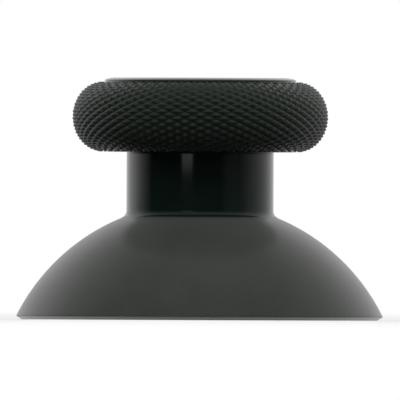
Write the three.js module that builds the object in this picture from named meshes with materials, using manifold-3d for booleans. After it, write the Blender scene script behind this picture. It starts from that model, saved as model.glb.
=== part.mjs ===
// A thumbstick cap for a game controller, moulded in one piece.
// A round thumb pad with a diamond knurl on its edge stands on a hollow stem. The stem widens into
// a thin spherical skirt, and a ribbed boss inside it holds the double-D socket for the stick shaft.
// Millimetres, +Z up. The origin is on the axis, in the plane of the skirt's rim.

import * as THREE from 'three';
import { mergeVertices } from 'three/addons/utils/BufferGeometryUtils.js';
import Module from 'manifold-3d';

const wasm = await Module();
wasm.setup();

// Skirt: a spherical shell about the pivot of the stick
const skirtRadius = 14.36;
const pivotBelowRim = 6.11;
const skirtWall = 1.2;
const rimChamferWidth = 0.4;
const rimChamferHeight = 0.24;

// Stem
const stemDiameter = 10.34;
const stemWall = 1.1;
const stemFilletRadius = 0.6;
const boreFilletRadius = 0.5;

// Thumb pad
const capHeight = 17.0;
const padDiameter = 18.0;
const bandHeight = 4.95;
const bandDepth = 2.1;
const lipDiameter = 13.44;
const lipHeight = 0.27;
const lipCrownHeight = 0.15;
const lipCrownRadius = 1.9;
const dishDepth = 1.15;
const padFloor = 2.6;

// Diamond knurl on the edge of the pad
const knurlCount = 50;
const knurlPitch = 0.534;
const knurlRelief = 0.13;

// Boss and socket for the stick shaft
const bossDiameter = 5.8;
const bossAboveRim = 2.0;
const bossChamfer = 0.3;
const socketDiameter = 4.1;
const socketAcrossFlats = 3.1;
const socketDepth = 5.0;
const socketLeadIn = 0.3;

// Ribs between the boss and the stem
const ribCount = 4;
const ribThickness = 0.8;
const ribLength = 5.4;

// Facets
const turnSegments = 72;
const skirtSteps = 9;
const insideSteps = 7;
const dishSteps = 5;
const crownSteps = 4;
const stemFilletSteps = 3;
const boreFilletSteps = 2;
const socketArcSegments = 10;
const overlap = 0.2; // how far pieces that are joined reach into each other

const plastic = new THREE.MeshStandardMaterial({ color: 0x191b1a, roughness: 0.38, metalness: 0.0 });

// Levels and radii that follow from the sizes above
const padRadius = padDiameter / 2;
const lipRadius = lipDiameter / 2;
const stemRadius = stemDiameter / 2;
const boreRadius = stemRadius - stemWall;
const bossRadius = bossDiameter / 2;
const innerRadius = skirtRadius - skirtWall;
const bandTop = capHeight - lipHeight;
const padUnderside = bandTop - bandHeight;
const dishBottom = capHeight - dishDepth;
const pocketTop = dishBottom - padFloor;

// Points of an arc about (x, y), from one angle to another, both ends included
function arc(x, y, radius, fromAngle, toAngle, steps) {
  return Array.from({ length: steps + 1 }, (_, i) => {
    const angle = fromAngle + ((toAngle - fromAngle) * i) / steps;
    return new THREE.Vector2(x + radius * Math.cos(angle), y + radius * Math.sin(angle));
  });
}

// Arc that rounds the corner between an upright wall and a sphere about the pivot, from the sphere to
// the wall, with the angle at which it meets the sphere
function filletToSphere(wallRadius, sphereRadius, radius, steps) {
  const x = wallRadius + radius;
  const sphereAngle = Math.acos(x / (sphereRadius + radius));
  const y = (sphereRadius + radius) * Math.sin(sphereAngle) - pivotBelowRim;
  return { points: arc(x, y, radius, sphereAngle + Math.PI, Math.PI, steps), sphereAngle };
}

// Crown of the lip and the dish: a convex arc up from the outer edge of the lip and over its crest, and
// the concave sphere that continues it down to the middle of the pad
function topOutline() {
  const crownWidth = Math.sqrt(2 * lipCrownRadius * lipCrownHeight - lipCrownHeight ** 2);
  const crestRadius = lipRadius - crownWidth;
  const crownCentreHeight = capHeight - lipCrownRadius;
  const outerAngle = Math.acos(crownWidth / lipCrownRadius);
  // The dish touches the crown where the line between their centres crosses both
  const rise = dishBottom - crownCentreHeight;
  const dishSphere = (crestRadius ** 2 + rise ** 2 - lipCrownRadius ** 2) / (2 * dishDepth);
  const dishAngle = Math.asin(crestRadius / (dishSphere + lipCrownRadius));
  const crown = arc(
    crestRadius, crownCentreHeight, lipCrownRadius, outerAngle, Math.PI / 2 + dishAngle, crownSteps);
  const dish = arc(
    0, dishBottom + dishSphere, dishSphere, dishAngle - Math.PI / 2, -Math.PI / 2, dishSteps);
  return [...crown, ...dish.slice(1)];
}

// Outline of the turned body, from the end of the boss round to the middle of the dish
function bodyOutline() {
  const boreFillet = filletToSphere(boreRadius, innerRadius, boreFilletRadius, boreFilletSteps);
  const stemFillet = filletToSphere(stemRadius, skirtRadius, stemFilletRadius, stemFilletSteps);
  const innerRimAngle = Math.asin(pivotBelowRim / innerRadius);
  const outerRimAngle = Math.asin((pivotBelowRim + rimChamferHeight) / skirtRadius);
  const inside = arc(
    0, -pivotBelowRim, innerRadius, boreFillet.sphereAngle, innerRimAngle, insideSteps);
  const outside = arc(
    0, -pivotBelowRim, skirtRadius, outerRimAngle, stemFillet.sphereAngle, skirtSteps);
  return [
    new THREE.Vector2(0, bossAboveRim),
    new THREE.Vector2(bossRadius - bossChamfer, bossAboveRim),
    new THREE.Vector2(bossRadius, bossAboveRim + bossChamfer),
    new THREE.Vector2(bossRadius, pocketTop),
    new THREE.Vector2(boreRadius, pocketTop),
    ...boreFillet.points.reverse(),
    ...inside.slice(1),
    new THREE.Vector2(outside[0].x - rimChamferWidth, 0),
    ...outside.slice(0, -1),
    ...stemFillet.points,
    new THREE.Vector2(stemRadius, padUnderside + overlap),
    new THREE.Vector2(lipRadius, padUnderside + overlap + lipRadius - stemRadius),
    ...topOutline(),
  ];
}

// Turns an outline about the Z axis
function turned(outline, segments) {
  return new THREE.LatheGeometry(outline, segments).rotateX(Math.PI / 2);
}

// The knurled edge as a closed ring. Its outer face is a staggered grid in which every other point is
// a crest and the points between them are where the grooves cross, so each crest tops a diamond.
function knurledRing() {
  const halfHeight = bandHeight / 2;
  const middle = new THREE.Vector2(padRadius - bandDepth, padUnderside + halfHeight);
  const curve = new THREE.EllipseCurve(
    middle.x, middle.y, bandDepth, halfHeight, Math.PI / 2, -Math.PI / 2, true);
  const rows = Math.round(curve.getLength() / (knurlPitch / 2));
  const columns = 2 * knurlCount;
  const outline = [
    ...curve.getSpacedPoints(rows),
    new THREE.Vector2((boreRadius + stemRadius) / 2, padUnderside),
    new THREE.Vector2(lipRadius - overlap, bandTop),
  ];
  const positions = [];
  outline.forEach((point, row) => {
    const before = outline[(row + outline.length - 1) % outline.length];
    const after = outline[(row + 1) % outline.length];
    const outward = new THREE.Vector2(before.y - after.y, after.x - before.x).normalize();
    for (let column = 0; column < columns; column++) {
      const inGroove = row > 0 && row < rows && (row + column) % 2 === 1;
      const groove = inGroove ? knurlRelief : 0;
      const angle = (column * 2 * Math.PI) / columns;
      const distance = point.x - outward.x * groove;
      positions.push(distance * Math.cos(angle), distance * Math.sin(angle), point.y - outward.y * groove);
    }
  });
  const index = [];
  for (let row = 0; row < outline.length; row++) {
    for (let column = 0; column < columns; column++) {
      const nextRow = (row + 1) % outline.length;
      const nextColumn = (column + 1) % columns;
      const a = row * columns + column;
      const b = row * columns + nextColumn;
      const c = nextRow * columns + nextColumn;
      const d = nextRow * columns + column;
      // The diagonal of each cell runs from groove to groove
      const crestAtA = (row + column) % 2 === 0;
      index.push(...(crestAtA ? [a, d, b, d, c, b] : [a, d, c, a, c, b]));
    }
  }
  const geometry = new THREE.BufferGeometry();
  geometry.setAttribute('position', new THREE.Float32BufferAttribute(positions, 3));
  geometry.setIndex(index);
  return geometry;
}

// Double-D outline: a circle with two parallel flats
function doubleD(radius, halfAcrossFlats) {
  const flatAngle = Math.acos(halfAcrossFlats / radius);
  const shape = new THREE.Shape();
  shape.absarc(0, 0, radius, flatAngle, Math.PI - flatAngle, false);
  shape.absarc(0, 0, radius, Math.PI + flatAngle, 2 * Math.PI - flatAngle, false);
  shape.closePath();
  return shape;
}

// Socket for the stick shaft, with a tapered lead-in at its mouth
function socketSolid() {
  const radius = socketDiameter / 2;
  const halfFlats = socketAcrossFlats / 2;
  const well = new THREE.ExtrudeGeometry(doubleD(radius, halfFlats), {
    depth: socketDepth + overlap, bevelEnabled: false, curveSegments: socketArcSegments,
  }).translate(0, 0, bossAboveRim - overlap);
  const mouth = new THREE.ExtrudeGeometry(doubleD(radius, halfFlats), {
    depth: overlap, bevelEnabled: true, bevelThickness: socketLeadIn, bevelSize: socketLeadIn,
    bevelSegments: 1, curveSegments: socketArcSegments,
  }).translate(0, 0, bossAboveRim - overlap);
  return toSolid(well).add(toSolid(mouth));
}

// One rib, which reaches a little into the boss and into the wall of the stem
function ribSolid(angle) {
  const innerEnd = bossRadius - overlap;
  const outerEnd = boreRadius + overlap;
  const rib = new THREE.BoxGeometry(outerEnd - innerEnd, ribThickness, ribLength + overlap)
    .translate((innerEnd + outerEnd) / 2, 0, pocketTop + (overlap - ribLength) / 2)
    .rotateZ(angle);
  return toSolid(rib);
}

// A closed three.js mesh as a solid that can be joined and cut
function toSolid(geometry) {
  const bare = geometry.clone();
  bare.deleteAttribute('normal');
  bare.deleteAttribute('uv');
  const merged = mergeVertices(bare, 1e-5);
  return new wasm.Manifold(new wasm.Mesh({
    numProp: 3,
    vertProperties: new Float32Array(merged.attributes.position.array),
    triVerts: new Uint32Array(merged.index.array),
  }));
}

function toGeometry(solid) {
  const mesh = solid.getMesh();
  const geometry = new THREE.BufferGeometry();
  geometry.setAttribute('position', new THREE.BufferAttribute(mesh.vertProperties, 3));
  geometry.setIndex(new THREE.BufferAttribute(mesh.triVerts, 1));
  geometry.computeVertexNormals();
  return geometry;
}

function capGeometry() {
  let cap = toSolid(turned(bodyOutline(), turnSegments)).add(toSolid(knurledRing()));
  for (let i = 0; i < ribCount; i++) {
    cap = cap.add(ribSolid(((i + 0.5) * 2 * Math.PI) / ribCount));
  }
  return toGeometry(cap.subtract(socketSolid()));
}

const thumbstick = new THREE.Group();
const cap = new THREE.Mesh(capGeometry(), plastic);
cap.name = 'thumbstick_cap';
thumbstick.add(cap);

export default thumbstick;
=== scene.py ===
import math

import bmesh
import bpy
from mathutils import Matrix, Vector


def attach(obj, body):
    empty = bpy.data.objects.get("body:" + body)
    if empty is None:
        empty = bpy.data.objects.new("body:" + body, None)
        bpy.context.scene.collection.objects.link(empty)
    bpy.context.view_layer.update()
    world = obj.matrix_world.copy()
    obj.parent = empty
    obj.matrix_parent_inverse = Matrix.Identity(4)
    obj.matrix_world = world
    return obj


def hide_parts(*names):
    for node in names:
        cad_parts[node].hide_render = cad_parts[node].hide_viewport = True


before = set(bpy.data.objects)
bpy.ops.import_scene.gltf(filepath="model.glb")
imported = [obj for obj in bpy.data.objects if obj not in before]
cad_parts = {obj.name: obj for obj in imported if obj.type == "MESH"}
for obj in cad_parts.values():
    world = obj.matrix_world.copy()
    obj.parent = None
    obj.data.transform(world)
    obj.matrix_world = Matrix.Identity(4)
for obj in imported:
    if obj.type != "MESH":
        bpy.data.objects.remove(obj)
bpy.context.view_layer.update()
mm = 0.001


# Section of the cap, drawn in the XZ plane with a pen that makes lines and arcs

def penDown(bm, x, z):
    return bm.verts.new((x * mm, 0, z * mm))


def lineTo(bm, vert, x, z):
    end = bmesh.ops.extrude_vert_indiv(bm, verts=[vert])["verts"][0]
    end.co = (x * mm, 0, z * mm)
    return end


def wallTo(bm, vert, x, z):
    # a straight wall, with a point held close to each end so that it shades flat up to the corner
    hold = 0.12                  # mm
    startX, startZ = vert.co.x / mm, vert.co.z / mm
    share = hold / math.dist((startX, startZ), (x, z))
    for part in (share, 1 - share):
        vert = lineTo(bm, vert, startX + (x - startX) * part, startZ + (z - startZ) * part)
    return lineTo(bm, vert, x, z)


def arcAbout(bm, vert, x, z, degrees, steps):
    # positive degrees turn from +X towards +Z
    spun = bmesh.ops.spin(bm, geom=[vert], cent=(x * mm, 0, z * mm), axis=(0, -1, 0),
                          angle=math.radians(degrees), steps=steps)
    return [g for g in spun["geom_last"] if isinstance(g, bmesh.types.BMVert)][0]


capSize = {                      # millimetres, as the solid has them
    "skirtRadius": 14.36,        # of the sphere
    "pivotBelowRim": 6.11,       # centre of the sphere
    "skirtWall": 1.2,
    "rimChamfer": (0.4, 0.24),   # width and height
    "stemRadius": 5.17,
    "stemWall": 1.1,
    "stemFillet": 0.6,
    "boreFillet": 0.5,
    "height": 17.0,
    "padRadius": 9.0,
    "bandHeight": 4.95,          # knurled edge
    "bandDepth": 2.1,
    "lipRadius": 6.72,
    "lipHeight": 0.27,           # above the knurled edge, with its crown
    "crownHeight": 0.15,
    "crownRadius": 1.9,
    "dishDepth": 1.15,
    "padFloor": 2.6,             # under the middle of the dish
    "bossRadius": 2.9,
    "bossEnd": 2.0,              # above the rim
    "bossChamfer": 0.3,
    "ribLength": 5.4,
    "ribHalf": 0.4,              # half the thickness
    "socketRadius": 2.05,
    "socketHalfFlats": 1.55,
    "socketDepth": 5.0,
    "socketLeadIn": 0.3,
}

# levels and radii that follow from these
boreRadius = capSize["stemRadius"] - capSize["stemWall"]
bandTop = capSize["height"] - capSize["lipHeight"]
padUnderside = bandTop - capSize["bandHeight"]
pocketTop = capSize["height"] - capSize["dishDepth"] - capSize["padFloor"]
ribBottom = pocketTop - capSize["ribLength"]
socketTop = capSize["bossEnd"] + capSize["socketDepth"]

knurl = {
    "count": 50,                 # diamonds in a turn
    "rows": 27,                  # half diamonds from lip to underside
    "relief": 0.2,               # mm from groove to crest
    "steps": [                   # inset and rise of each step from the groove to the crest, mm
        (0.015, 0.03),
        (0.015, 0.02),
        (0.125, 0.125),
        (0.035, 0.021),
    ],
}

finish = {
    "steps": 200,                # facets round the turned surfaces
    "edgeRound": 0.06,           # mm on moulded corners
    "roundSegments": 3,          # facets across a rounded corner
    "sharpFrom": 25,             # degrees, the least bend that is rounded
    "satinTop": 7.26,            # height to which the skirt's satin reaches up the foot of the stem, mm
    "materials": ("skirtSatin", "stemSmooth", "knurlMatt", "topSatin"),   # in the order of their slots
}

arcSteps = {"boreFillet": 6, "inside": 24, "outside": 36, "stemFillet": 16, "crown": 16, "dish": 20}
ribs = {"count": 4, "columns": 8}   # columns of facets of the bore that a rib covers
socket = {"segments": 96}

samePoint = 0.001                # mm within which two points are one
near = 0.01                      # mm within which a point counts as on a level or at a radius
onPlane = 1e-9                   # m within which a point counts as on a cut


def lowerSection(bm):
    s = capSize
    inner = s["skirtRadius"] - s["skirtWall"]
    pivot = -s["pivotBelowRim"]
    vert = penDown(bm, s["bossRadius"] - s["bossChamfer"], s["bossEnd"])
    vert = lineTo(bm, vert, s["bossRadius"], s["bossEnd"] + s["bossChamfer"])
    vert = lineTo(bm, vert, s["bossRadius"], ribBottom)
    vert = lineTo(bm, vert, s["bossRadius"], pocketTop)
    vert = lineTo(bm, vert, boreRadius, pocketTop)
    vert = lineTo(bm, vert, boreRadius, ribBottom)
    # corner of the bore, then down the inside of the skirt
    reach = inner + s["boreFillet"]
    x = boreRadius + s["boreFillet"]
    boreAngle = math.degrees(math.acos(x / reach))
    z = pivot + reach * math.sin(math.radians(boreAngle))
    vert = lineTo(bm, vert, boreRadius, z)
    vert = arcAbout(bm, vert, x, z, boreAngle, arcSteps["boreFillet"])
    innerRim = math.degrees(math.asin(s["pivotBelowRim"] / inner))
    vert = arcAbout(bm, vert, 0, pivot, innerRim - boreAngle, arcSteps["inside"])
    # rim with its chamfer, and the outside of the skirt
    wide, high = s["rimChamfer"]
    rimAngle = math.asin((s["pivotBelowRim"] + high) / s["skirtRadius"])
    x = s["skirtRadius"] * math.cos(rimAngle)
    vert = lineTo(bm, vert, x - wide, 0)
    vert = wallTo(bm, vert, x, high)
    reach = s["skirtRadius"] + s["stemFillet"]
    x = s["stemRadius"] + s["stemFillet"]
    footAngle = math.degrees(math.acos(x / reach))
    z = pivot + reach * math.sin(math.radians(footAngle))
    vert = arcAbout(bm, vert, 0, pivot, footAngle - math.degrees(rimAngle), arcSteps["outside"])
    vert = arcAbout(bm, vert, x, z, -footAngle, arcSteps["stemFillet"])
    # stem and the plain part of the pad's underside, which ends in a small step at the knurl
    vert = wallTo(bm, vert, s["stemRadius"], padUnderside)
    vert = wallTo(bm, vert, s["padRadius"] - s["bandDepth"] - knurl["relief"], padUnderside)
    lineTo(bm, vert, s["padRadius"] - s["bandDepth"], padUnderside + knurl["relief"])


def upperSection(bm):
    s = capSize
    step = bandTop - knurl["relief"]
    vert = penDown(bm, s["padRadius"] - s["bandDepth"], step)
    vert = lineTo(bm, vert, s["lipRadius"], step)
    vert = lineTo(bm, vert, s["lipRadius"], s["height"] - s["crownHeight"])
    # over the crown of the lip, and down a sphere that touches it to the middle of the dish
    crown = s["crownRadius"]
    reach = math.sqrt(2 * crown * s["crownHeight"] - s["crownHeight"] ** 2)
    x = s["lipRadius"] - reach
    z = s["height"] - crown
    low = s["height"] - s["dishDepth"]
    sphere = (x ** 2 + (low - z) ** 2 - crown ** 2) / (2 * (crown - low + z))
    dishAngle = math.degrees(math.asin(x / (sphere + crown)))
    outerAngle = math.degrees(math.acos(reach / crown))
    vert = arcAbout(bm, vert, x, z, 90 + dishAngle - outerAngle, arcSteps["crown"])
    arcAbout(bm, vert, 0, low + sphere, -dishAngle, arcSteps["dish"])


def bandSection(bm):
    # half an ellipse at groove depth, from the lip to the underside, in rows of equal length
    s = capSize
    wide = s["bandDepth"] - knurl["relief"]
    high = s["bandHeight"] / 2 - knurl["relief"]
    x = s["padRadius"] - s["bandDepth"]
    z = bandTop - s["bandHeight"] / 2
    fine = 2000                  # points at which the length of the curve is measured
    angles = [math.pi * i / fine for i in range(fine + 1)]
    travel = [0.0]
    for a, b in zip(angles, angles[1:]):
        travel.append(travel[-1] + math.dist((wide * math.sin(a), high * math.cos(a)),
                                             (wide * math.sin(b), high * math.cos(b))))
    vert = penDown(bm, x, z + high)
    for row in range(1, knurl["rows"] + 1):
        along = travel[-1] * row / knurl["rows"]
        angle = angles[min(range(fine + 1), key=lambda i: abs(travel[i] - along))]
        vert = lineTo(bm, vert, x + wide * math.sin(angle), z + high * math.cos(angle))


def turn(bm, section, steps):
    geom = section.verts[:] + section.edges[:]
    bmesh.ops.spin(section, geom=geom, cent=(0, 0, 0), axis=(0, 0, 1), angle=2 * math.pi,
                   steps=steps, use_merge=True)
    bmesh.ops.remove_doubles(section, verts=section.verts, dist=samePoint * mm)
    piece = bpy.data.meshes.new("turned")
    section.to_mesh(piece)
    bm.from_mesh(piece)
    section.free()
    bpy.data.meshes.remove(piece)


def turnedBody():
    bm = bmesh.new()
    for draw in (lowerSection, upperSection):
        section = bmesh.new()
        draw(section)
        turn(bm, section, finish["steps"])
    # the corners are rounded, apart from those in the pocket, where the ribs come
    margin = 0.1                 # mm round the pocket
    pocketBottom = capSize["bossEnd"] + 1         # clear of the corners at the end of the boss
    sharp = math.radians(finish["sharpFrom"])
    corners = []
    for edge in bm.edges:
        middle = (edge.verts[0].co + edge.verts[1].co) / 2 / mm
        inPocket = middle.xy.length < boreRadius + margin and pocketBottom < middle.z < pocketTop + margin
        if len(edge.link_faces) == 2 and edge.calc_face_angle() > sharp and not inPocket:
            corners.append(edge)
    bmesh.ops.bevel(bm, geom=corners, offset=finish["edgeRound"] * mm, segments=finish["roundSegments"],
                    profile=0.5, affect="EDGES", material=-1, clamp_overlap=True)
    return bm


def knurledBand():
    # grid of half diamonds: every other point is a crest and is dissolved, which leaves whole diamonds
    bm = bmesh.new()
    section = bmesh.new()
    bandSection(section)
    rowHeights = [v.co.z for v in section.verts]
    turn(bm, section, 2 * knurl["count"])
    crests = []
    crossings = []
    border = (max(rowHeights), min(rowHeights))
    for vert in bm.verts:
        row = min(range(len(rowHeights)), key=lambda i: abs(rowHeights[i] - vert.co.z))
        column = round(math.atan2(vert.co.y, vert.co.x) / math.pi * knurl["count"])
        (crossings if (row + column) % 2 else crests).append(vert)
    bmesh.ops.connect_verts(bm, verts=crossings)
    onBorder = {v for v in bm.verts if min(abs(v.co.z - h) for h in border) < samePoint * mm}
    spokes = {e for v in crests if v in onBorder for e in v.link_edges
              if e.other_vert(v) not in onBorder}
    bmesh.ops.dissolve_edges(bm, edges=list(spokes))
    bmesh.ops.dissolve_verts(bm, verts=[v for v in crests if v not in onBorder])
    bmesh.ops.recalc_face_normals(bm, faces=bm.faces)
    diamonds = bm.faces[:]
    for inset, rise in knurl["steps"]:
        bmesh.ops.inset_individual(bm, faces=diamonds, thickness=inset * mm, depth=rise * mm,
                                   use_even_offset=True)
    return bm


def sectorOf(point, angle):
    # degrees between a point and the direction of a rib
    turned = math.degrees(math.atan2(point.y, point.x)) - angle
    return (turned + 180) % 360 - 180


def addRibs(bm):
    # the walls inside a rib are removed, its lower end is bridged and its sides are filled
    s = capSize
    column = 360 / finish["steps"]
    halfWidth = ribs["columns"] / 2 * column
    low = ribBottom - near
    for index in range(ribs["count"]):
        angle = 360 * (index + 0.5) / ribs["count"]
        covered = []
        for face in bm.faces:
            point = face.calc_center_median() / mm
            between = s["bossRadius"] - near < point.xy.length < boreRadius + near
            if between and low < point.z < pocketTop + near and abs(sectorOf(point, angle)) < halfWidth:
                covered.append(face)
        rim = {e for f in covered for e in f.edges if sum(g in covered for g in e.link_faces) == 1}
        bmesh.ops.delete(bm, geom=covered, context="FACES")
        sides = {v for e in rim for v in e.verts
                 if abs(abs(sectorOf(v.co, angle)) - halfWidth) < column / 100}
        for vert in sides:
            # straight sides instead of radial ones
            radius = vert.co.xy.length
            offset = math.degrees(math.asin(s["ribHalf"] * mm / radius))
            turned = math.radians(angle + math.copysign(offset, sectorOf(vert.co, angle)))
            vert.co.xy = (radius * math.cos(turned), radius * math.sin(turned))
        ends = [e for e in rim if max(v.co.z for v in e.verts) < (ribBottom + near) * mm]
        bmesh.ops.bridge_loops(bm, edges=ends)
        openEdges = [e for e in bm.edges if len(e.link_faces) == 1 and e.verts[0].co.z > low * mm
                     and abs(sectorOf(e.verts[0].co, angle)) < 2 * halfWidth]
        bmesh.ops.holes_fill(bm, edges=openEdges, sides=0)


def addSocket(bm):
    # a double-D hole: a disc with two sides cut off, drawn out to the end of the boss
    s = capSize
    bottom = Matrix.Translation((0, 0, socketTop * mm))
    bossRing = [e for e in bm.edges
                if len(e.link_faces) == 1 and e.verts[0].co.z < (s["bossEnd"] + near) * mm]
    disc = bmesh.ops.create_circle(bm, cap_ends=True, radius=s["socketRadius"] * mm,
                                   segments=socket["segments"], matrix=bottom)
    verts = set(disc["verts"])
    for side in (1, -1):
        geom = list({g for v in verts for g in (*v.link_edges, *v.link_faces)} | verts)
        cut = bmesh.ops.bisect_plane(bm, geom=geom, dist=onPlane,
                                     plane_co=(side * s["socketHalfFlats"] * mm, 0, 0),
                                     plane_no=(side, 0, 0), clear_outer=True)
        verts = {v for g in cut["geom"] + cut["geom_cut"] if g.is_valid for v in
                 (g.verts if hasattr(g, "verts") else [g])}
    edges = list({e for v in verts for e in v.link_edges})
    leadIn = s["socketLeadIn"]
    spread = (1 + leadIn / s["socketHalfFlats"], 1 + leadIn / s["socketRadius"])
    for depth, scale in ((s["bossEnd"] + leadIn, (1, 1)), (s["bossEnd"], spread)):
        drawn = bmesh.ops.extrude_edge_only(bm, edges=edges)["geom"]
        for vert in (g for g in drawn if isinstance(g, bmesh.types.BMVert)):
            vert.co = (vert.co.x * scale[0], vert.co.y * scale[1], depth * mm)
        edges = [g for g in drawn if isinstance(g, bmesh.types.BMEdge)]
    bmesh.ops.bridge_loops(bm, edges=bossRing + edges)


def joinBand(bm, band):
    # the band's border gets as many points as the turned surfaces, and is welded to them
    bmesh.ops.subdivide_edges(band, edges=[e for e in band.edges if len(e.link_faces) == 1], cuts=1)
    mesh = bpy.data.meshes.new("band")
    band.to_mesh(mesh)
    bm.from_mesh(mesh)
    band.free()
    bpy.data.meshes.remove(mesh)
    bmesh.ops.remove_doubles(bm, verts=bm.verts, dist=5 * samePoint * mm)


def finishFaces(bm):
    # which of the four finishes each face has
    skirt, stem, knurled, top = range(len(finish["materials"]))
    withinFloor = pocketTop + 0.5                 # a level in the thickness of the pad's floor
    withinWall = boreRadius + 0.5                 # a radius in the thickness of the stem's wall
    stemOutside = capSize["stemRadius"] - 0.1     # a radius just under the stem's outer face
    for face in bm.faces:
        face.smooth = True
        centre = face.calc_center_median() / mm
        radius = centre.xy.length
        if face.material_index == knurled:
            continue
        if centre.z > withinFloor:
            face.material_index = top
        elif radius > withinWall and centre.z > padUnderside - near:
            face.material_index = stem
        elif stemOutside < radius < capSize["padRadius"] and centre.z > finish["satinTop"]:
            face.material_index = stem
        else:
            face.material_index = skirt


def buildCap():
    bm = turnedBody()
    addRibs(bm)
    addSocket(bm)
    band = knurledBand()
    for face in band.faces:
        face.material_index = finish["materials"].index("knurlMatt")
    joinBand(bm, band)
    finishFaces(bm)
    bmesh.ops.recalc_face_normals(bm, faces=bm.faces)
    mesh = bpy.data.meshes.new("cap")
    bm.to_mesh(mesh)
    bm.free()
    cap = bpy.data.objects.new("cap", mesh)
    bpy.context.scene.collection.objects.link(cap)
    return cap


cap = buildCap()
print("cap built, triangles:", sum(len(p.vertices) - 2 for p in cap.data.polygons))


# Finishes

def nodesOf(tree):
    tree.nodes.clear()
    return tree.nodes, tree.links


def materialOf(piece, name):
    # a new material on the piece, with only its output
    material = bpy.data.materials.new(name)
    material.use_nodes = True
    nodes, links = nodesOf(material.node_tree)
    piece.data.materials.append(material)
    return nodes, links, nodes.new("ShaderNodeOutputMaterial")


grainMix = {
    "fineDetail": 3,
    "slowDetail": 5,
    "slowRoughness": 0.6,
    "fineShare": 0.35,           # of the fine grain in the colour, beside all of the slow unevenness
    "colourRange": (0.45, 0.9),  # of that sum, from the darkest to the lightest colour
    "roughRange": (0.3, 0.7),    # of the slow unevenness, from the smoothest to the roughest
}


def mouldedGrain():
    # colour, roughness and height of a moulded surface: fine grain over slow, faint unevenness
    g = grainMix
    group = bpy.data.node_groups.new("mouldedGrain", "ShaderNodeTree")
    number, colour, vector = "NodeSocketFloat", "NodeSocketColor", "NodeSocketVector"
    for name, kind in (("Vector", vector), ("Dark", colour), ("Light", colour), ("Smoothest", number),
                       ("Roughest", number), ("Grain Scale", number), ("Uneven Scale", number)):
        group.interface.new_socket(name, in_out="INPUT", socket_type=kind)
    for name, kind in (("Color", colour), ("Roughness", number), ("Height", number)):
        group.interface.new_socket(name, in_out="OUTPUT", socket_type=kind)
    nodes, links = nodesOf(group)
    given = nodes.new("NodeGroupInput")
    out = nodes.new("NodeGroupOutput")
    grain = nodes.new("ShaderNodeTexNoise")
    grain.inputs["Detail"].default_value = g["fineDetail"]
    uneven = nodes.new("ShaderNodeTexNoise")
    uneven.inputs["Detail"].default_value = g["slowDetail"]
    uneven.inputs["Roughness"].default_value = g["slowRoughness"]
    links.new(given.outputs["Vector"], grain.inputs["Vector"])
    links.new(given.outputs["Vector"], uneven.inputs["Vector"])
    links.new(given.outputs["Grain Scale"], grain.inputs["Scale"])
    links.new(given.outputs["Uneven Scale"], uneven.inputs["Scale"])
    both = nodes.new("ShaderNodeMath")
    both.operation = "MULTIPLY_ADD"
    both.inputs[1].default_value = g["fineShare"]
    links.new(grain.outputs["Fac"], both.inputs[0])
    links.new(uneven.outputs["Fac"], both.inputs[2])
    spread = nodes.new("ShaderNodeMapRange")
    spread.inputs["From Min"].default_value, spread.inputs["From Max"].default_value = g["colourRange"]
    links.new(both.outputs[0], spread.inputs["Value"])
    mix = nodes.new("ShaderNodeMix")
    mix.data_type = "RGBA"
    links.new(spread.outputs["Result"], mix.inputs["Factor"])
    links.new(given.outputs["Dark"], mix.inputs["A"])
    links.new(given.outputs["Light"], mix.inputs["B"])
    links.new(mix.outputs["Result"], out.inputs["Color"])
    rough = nodes.new("ShaderNodeMapRange")
    rough.inputs["From Min"].default_value, rough.inputs["From Max"].default_value = g["roughRange"]
    links.new(uneven.outputs["Fac"], rough.inputs["Value"])
    links.new(given.outputs["Smoothest"], rough.inputs["To Min"])
    links.new(given.outputs["Roughest"], rough.inputs["To Max"])
    links.new(rough.outputs["Result"], out.inputs["Roughness"])
    links.new(grain.outputs["Fac"], out.inputs["Height"])
    return group


plastics = {                     # gloss lies over the rough surface, grains per metre, grain depth in mm
    "skirtSatin": {
        "colour": (0.034, 0.04, 0.0335), "smoothest": 0.5, "roughest": 0.58, "gloss": 0.55, "sheen": 0.28,
        "grain": 9000, "uneven": 350, "depth": 0.0012,
    },
    "stemSmooth": {
        "colour": (0.0064, 0.0156, 0.0118), "smoothest": 0.11, "roughest": 0.15, "gloss": 0, "sheen": 0,
        "grain": 9000, "uneven": 500, "depth": 0.0003,
    },
    "knurlMatt": {
        "colour": (0.0132, 0.0228, 0.0153), "smoothest": 0.38, "roughest": 0.46, "gloss": 0, "sheen": 0.11,
        "grain": 14000, "uneven": 900, "depth": 0.002,
    },
    "topSatin": {
        "colour": (0.011, 0.0165, 0.0135), "smoothest": 0.16, "roughest": 0.22, "gloss": 0, "sheen": 0.15,
        "grain": 9000, "uneven": 350, "depth": 0.0015,
    },
}
shade = {"dark": 0.85, "light": 1.18}     # how far a colour varies
surface = {
    "ior": 1.5,
    "specular": 0.5,             # shared out between the rough surface and the gloss
    "glossRoughness": 0.24,
    "sheenRoughness": 0.5,       # of the pale sheen that fine texture has where it is seen askew
}


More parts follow.
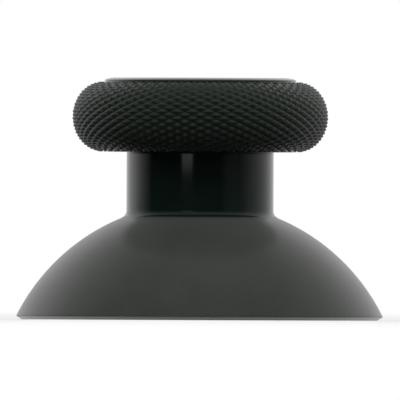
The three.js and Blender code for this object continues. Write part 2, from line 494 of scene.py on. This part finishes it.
def addPlastic(piece, name, group):
    s = plastics[name]
    nodes, links, out = materialOf(piece, name)
    shader = nodes.new("ShaderNodeBsdfPrincipled")
    shader.inputs["IOR"].default_value = surface["ior"]
    shader.inputs["Specular IOR Level"].default_value = surface["specular"] * (1 - s["gloss"])
    shader.inputs["Coat Weight"].default_value = s["gloss"]
    shader.inputs["Coat Roughness"].default_value = surface["glossRoughness"]
    shader.inputs["Sheen Weight"].default_value = s["sheen"]
    shader.inputs["Sheen Roughness"].default_value = surface["sheenRoughness"]
    place = nodes.new("ShaderNodeTexCoord")
    grain = nodes.new("ShaderNodeGroup")
    grain.node_tree = group
    grain.inputs["Dark"].default_value = (*(c * shade["dark"] for c in s["colour"]), 1)
    grain.inputs["Light"].default_value = (*(c * shade["light"] for c in s["colour"]), 1)
    grain.inputs["Smoothest"].default_value = s["smoothest"]
    grain.inputs["Roughest"].default_value = s["roughest"]
    grain.inputs["Grain Scale"].default_value = s["grain"]
    grain.inputs["Uneven Scale"].default_value = s["uneven"]
    bump = nodes.new("ShaderNodeBump")
    bump.inputs["Distance"].default_value = s["depth"] * mm
    links.new(place.outputs["Object"], grain.inputs["Vector"])
    links.new(grain.outputs["Color"], shader.inputs["Base Color"])
    links.new(grain.outputs["Roughness"], shader.inputs["Roughness"])
    links.new(grain.outputs["Height"], bump.inputs["Height"])
    links.new(bump.outputs["Normal"], shader.inputs["Normal"])
    links.new(shader.outputs["BSDF"], out.inputs["Surface"])


grainGroup = mouldedGrain()
for name in finish["materials"]:
    addPlastic(cap, name, grainGroup)
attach(cap, "root")
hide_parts("thumbstick_cap")
print("finishes set:", [m.name for m in cap.data.materials])


# Studio: white surroundings, a pale floor, and a dark card round the front that leaves the light out there

studio = {
    "floorColour": (0.8, 0.8, 0.8, 1),
    "floorRadius": 1.2,          # m
    "floorHole": 0.0122,         # m, under the hollow skirt, so that the inside is lit and seen from below
    "floorDrop": 0.00002,        # m below the rim, so that the two faces don't coincide
    "floorFade": (0.05, 0.3),    # m from the axis over which the floor turns plain white
    "floorLift": 0.28,           # brings the floor near the object up to white where no shadow falls
    "skyLight": 0.48,            # what the white surroundings give as light
    "skyAbove": (28, 60, 0.42),  # reflections of the sky dim between these elevations, to this level
    "cardNear": 0.0132,          # m from the axis
    "cardRadius": 0.35,          # m, of its curve
    "cardLift": 0.0001,          # m above the floor
    "cardTop": 80,               # degrees above the floor
    "cardFade": 10,              # degrees from which it fades
    "cardLight": 0.01,           # how bright it is
    "cardFlat": (0.1, 0.4),      # degrees over which its flat part ends, which lets no light through
    "flatReach": 0.77,           # its side angles shrink to this there, so it reaches further round
    "leftEdge": (82, 122),       # degrees to the left of the front, start and end of its fade
    "rightStep": (33, 42, 0.92),  # degrees to the right where a slightly lighter part begins, and its level
    "rightEdge": (66, 140),      # degrees to the right, start and end of its fade
    "cardSteps": 24,             # up its curve
    "steps": 96,                 # round the floor and the card
}


def combined(nodes, links, operation, values):
    total = values[0]
    for value in values[1:]:
        step = nodes.new("ShaderNodeMath")
        step.operation = operation
        links.new(total, step.inputs[0])
        links.new(value, step.inputs[1])
        total = step.outputs[0]
    return total


def faded(nodes, links, value, start, end, least=0):
    # 1 up to the start, least from the end on
    fade = nodes.new("ShaderNodeMapRange")
    fade.inputs["From Min"].default_value = start
    fade.inputs["From Max"].default_value = end
    fade.inputs["To Min"].default_value = 1
    fade.inputs["To Max"].default_value = least
    links.new(value, fade.inputs["Value"])
    return fade.outputs["Result"]


def oneMinus(nodes, links, value):
    rest = nodes.new("ShaderNodeMath")
    rest.operation = "SUBTRACT"
    rest.inputs[0].default_value = 1
    links.new(value, rest.inputs[1])
    return rest.outputs[0]


def whiteWorld():
    world = bpy.data.worlds.new("whiteWorld")
    bpy.context.scene.world = world
    world.use_nodes = True
    nodes, links = nodesOf(world.node_tree)
    out = nodes.new("ShaderNodeOutputWorld")
    background = nodes.new("ShaderNodeBackground")
    background.inputs["Color"].default_value = (1, 1, 1, 1)
    path = nodes.new("ShaderNodeLightPath")
    reflected = combined(nodes, links, "MAXIMUM", [path.outputs["Is Glossy Ray"],
                                                   path.outputs["Is Transmission Ray"]])
    place = nodes.new("ShaderNodeTexCoord")
    axes = nodes.new("ShaderNodeSeparateXYZ")
    links.new(place.outputs["Generated"], axes.inputs["Vector"])
    start, end, least = studio["skyAbove"]
    above = faded(nodes, links, axes.outputs["Z"], math.sin(math.radians(start)),
                  math.sin(math.radians(end)), least)
    level = nodes.new("ShaderNodeMix")
    level.inputs["A"].default_value = studio["skyLight"]
    links.new(reflected, level.inputs["Factor"])
    links.new(above, level.inputs["B"])
    seen = combined(nodes, links, "MAXIMUM", [level.outputs["Result"], path.outputs["Is Camera Ray"]])
    links.new(seen, background.inputs["Strength"])
    links.new(background.outputs["Background"], out.inputs["Surface"])


def turnedStage(name, bm):
    # turns the line in bm about the axis, with its flat part facing up, and makes it an object
    bmesh.ops.spin(bm, geom=bm.verts[:] + bm.edges[:], cent=(0, 0, 0), axis=(0, 0, 1),
                   angle=2 * math.pi, steps=studio["steps"], use_merge=True)
    lowest = min(bm.faces, key=lambda f: f.calc_center_median().z)
    lowest.normal_update()
    if lowest.normal.z < 0:
        bmesh.ops.reverse_faces(bm, faces=bm.faces)
    mesh = bpy.data.meshes.new(name)
    bm.to_mesh(mesh)
    bm.free()
    made = bpy.data.objects.new(name, mesh)
    bpy.context.scene.collection.objects.link(made)
    return made


def paleFloor():
    bm = bmesh.new()
    start = bm.verts.new((studio["floorHole"], 0, -studio["floorDrop"]))
    end = bmesh.ops.extrude_vert_indiv(bm, verts=[start])["verts"][0]
    end.co.x = studio["floorRadius"]
    floor = turnedStage("floor", bm)
    nodes, links, out = materialOf(floor, "floorPale")
    diffuse = nodes.new("ShaderNodeBsdfDiffuse")
    diffuse.inputs["Color"].default_value = studio["floorColour"]
    path = nodes.new("ShaderNodeLightPath")
    lift = nodes.new("ShaderNodeEmission")
    strength = nodes.new("ShaderNodeMath")
    strength.operation = "MULTIPLY"
    strength.inputs[1].default_value = studio["floorLift"]
    links.new(path.outputs["Is Camera Ray"], strength.inputs[0])
    links.new(strength.outputs[0], lift.inputs["Strength"])
    lifted = nodes.new("ShaderNodeAddShader")
    links.new(diffuse.outputs["BSDF"], lifted.inputs[0])
    links.new(lift.outputs["Emission"], lifted.inputs[1])
    # plain white far off and in reflections
    place = nodes.new("ShaderNodeTexCoord")
    away = nodes.new("ShaderNodeVectorMath")
    away.operation = "LENGTH"
    links.new(place.outputs["Object"], away.inputs[0])
    far = oneMinus(nodes, links, faded(nodes, links, away.outputs["Value"], *studio["floorFade"]))
    farSeen = combined(nodes, links, "MULTIPLY", [far, path.outputs["Is Camera Ray"]])
    share = combined(nodes, links, "MAXIMUM", [farSeen, path.outputs["Is Glossy Ray"],
                                               path.outputs["Is Transmission Ray"]])
    white = nodes.new("ShaderNodeEmission")
    mix = nodes.new("ShaderNodeMixShader")
    links.new(share, mix.inputs["Fac"])
    links.new(lifted.outputs["Shader"], mix.inputs[1])
    links.new(white.outputs["Emission"], mix.inputs[2])
    # not there from below
    facing = nodes.new("ShaderNodeNewGeometry")
    clear = nodes.new("ShaderNodeBsdfTransparent")
    oneSided = nodes.new("ShaderNodeMixShader")
    links.new(facing.outputs["Backfacing"], oneSided.inputs["Fac"])
    links.new(mix.outputs["Shader"], oneSided.inputs[1])
    links.new(clear.outputs["BSDF"], oneSided.inputs[2])
    links.new(oneSided.outputs["Shader"], out.inputs["Surface"])


def darkCard():
    # lies on the floor in front and sweeps up; its sides and its top fade out
    s = studio
    bm = bmesh.new()
    start = bm.verts.new((0, s["cardNear"], s["cardLift"]))
    bend = bmesh.ops.extrude_vert_indiv(bm, verts=[start])["verts"][0]
    bend.co.y = s["cardRadius"]
    bmesh.ops.spin(bm, geom=[bend], cent=(0, 0, s["cardLift"]), axis=(1, 0, 0),
                   angle=math.radians(s["cardTop"]), steps=s["cardSteps"])
    card = turnedStage("darkCard", bm)
    card.visible_camera = False
    card.visible_shadow = False
    nodes, links, out = materialOf(card, "cardDark")
    place = nodes.new("ShaderNodeTexCoord")
    axes = nodes.new("ShaderNodeSeparateXYZ")
    links.new(place.outputs["Object"], axes.inputs["Vector"])
    front = nodes.new("ShaderNodeMath")
    front.operation = "MULTIPLY"
    front.inputs[1].default_value = -1
    links.new(axes.outputs["Y"], front.inputs[0])
    side = nodes.new("ShaderNodeMath")       # angle from the front, positive to the right
    side.operation = "ARCTAN2"
    links.new(axes.outputs["X"], side.inputs[0])
    links.new(front.outputs[0], side.inputs[1])
    part = nodes.new("ShaderNodeMath")       # sine of the elevation
    part.operation = "DIVIDE"
    part.inputs[1].default_value = s["cardRadius"]
    links.new(axes.outputs["Z"], part.inputs[0])
    height = nodes.new("ShaderNodeMath")
    height.operation = "ARCSINE"
    links.new(part.outputs[0], height.inputs[0])
    # only its inner side is there, so that the floor under it keeps its light, and light that falls on
    # the object comes through it except where it lies flat
    facing = nodes.new("ShaderNodeNewGeometry")
    path = nodes.new("ShaderNodeLightPath")
    flat = faded(nodes, links, height.outputs[0], *(math.radians(a) for a in s["cardFlat"]))
    raised = oneMinus(nodes, links, flat)
    reach = nodes.new("ShaderNodeMapRange")
    reach.inputs["To Min"].default_value = 1
    reach.inputs["To Max"].default_value = s["flatReach"]
    links.new(flat, reach.inputs["Value"])
    turned = combined(nodes, links, "MULTIPLY", [side.outputs[0], reach.outputs["Result"]])
    lightThrough = combined(nodes, links, "MULTIPLY", [raised, path.outputs["Is Diffuse Ray"]])
    stepStart, stepEnd, stepLevel = s["rightStep"]
    dark = combined(nodes, links, "MULTIPLY", [
        faded(nodes, links, turned, *(math.radians(a) for a in s["rightEdge"])),
        faded(nodes, links, turned, math.radians(stepStart), math.radians(stepEnd), stepLevel),
        faded(nodes, links, turned, *(-math.radians(a) for a in s["leftEdge"])),
        faded(nodes, links, height.outputs[0], math.radians(s["cardFade"]), math.radians(s["cardTop"])),
        oneMinus(nodes, links, facing.outputs["Backfacing"]),
        oneMinus(nodes, links, lightThrough)])
    clear = nodes.new("ShaderNodeBsdfTransparent")
    dim = nodes.new("ShaderNodeEmission")
    dim.inputs["Strength"].default_value = s["cardLight"]
    mix = nodes.new("ShaderNodeMixShader")
    links.new(dark, mix.inputs["Fac"])
    links.new(clear.outputs["BSDF"], mix.inputs[1])
    links.new(dim.outputs["Emission"], mix.inputs[2])
    links.new(mix.outputs["Shader"], out.inputs["Surface"])


midStem = (0, 0, 0.008)          # m, a point in the stem, at which the large lamps aim
lamps = {                        # sizes and places in metres
    "above": {"size": (0.5, 0.5), "at": (0, -0.38, 0.55), "aim": midStem, "watts": 1.2, "glossy": False},
    "left": {"size": (0.4, 0.4), "at": (-0.6, -0.1, 0.34), "aim": midStem, "watts": 0.5, "glossy": False},
    "right": {"size": (0.4, 0.4), "at": (0.6, -0.1, 0.34), "aim": midStem, "watts": 0.5, "glossy": False},
    "catchLight": {              # the narrow light that the stem mirrors
        "size": (0.0075, 0.003), "at": (-0.0088, -0.0266, 0.0121), "aim": (0, 0, 0.0121),
        "watts": 0.00005, "glossy": True,
    },
}


def lamp(name):
    s = lamps[name]
    data = bpy.data.lights.new(name, "AREA")
    data.shape = "RECTANGLE"
    data.size, data.size_y = s["size"]
    data.energy = s["watts"]
    made = bpy.data.objects.new(name, data)
    made.location = s["at"]
    made.rotation_euler = (Vector(s["aim"]) - made.location).to_track_quat("-Z", "Y").to_euler()
    made.visible_camera = False
    made.visible_glossy = s["glossy"]
    bpy.context.scene.collection.objects.link(made)


whiteWorld()
paleFloor()
darkCard()
for name in lamps:
    lamp(name)
print("studio lit")


# Camera: level and without perspective, as a long lens far off shows a small object

view = {
    "pixels": 400,
    "mmPerPixel": 0.0702,
    "rimRow": 319.95,            # picture row of the rim plane
    "elevation": 0.1,            # degrees
    "roll": 0.24,
    "distance": 1.0,             # m
    "clip": (0.01, 10),          # m
}


def placeCamera():
    data = bpy.data.cameras.new("camera")
    data.type = "ORTHO"
    data.ortho_scale = view["pixels"] * view["mmPerPixel"] * mm
    data.clip_start, data.clip_end = view["clip"]
    camera = bpy.data.objects.new("camera", data)
    aim = Vector((0, 0, (view["rimRow"] - view["pixels"] / 2) * view["mmPerPixel"] * mm))
    tilt = math.radians(view["elevation"])
    away = Vector((0, -math.cos(tilt), math.sin(tilt)))
    camera.location = aim + away * view["distance"]
    level = (-away).to_track_quat("-Z", "Y").to_matrix()
    camera.rotation_euler = (level @ Matrix.Rotation(math.radians(view["roll"]), 3, "Z")).to_euler()
    bpy.context.scene.collection.objects.link(camera)
    bpy.context.scene.camera = camera


placeCamera()
bpy.context.scene.view_settings.view_transform = "Standard"
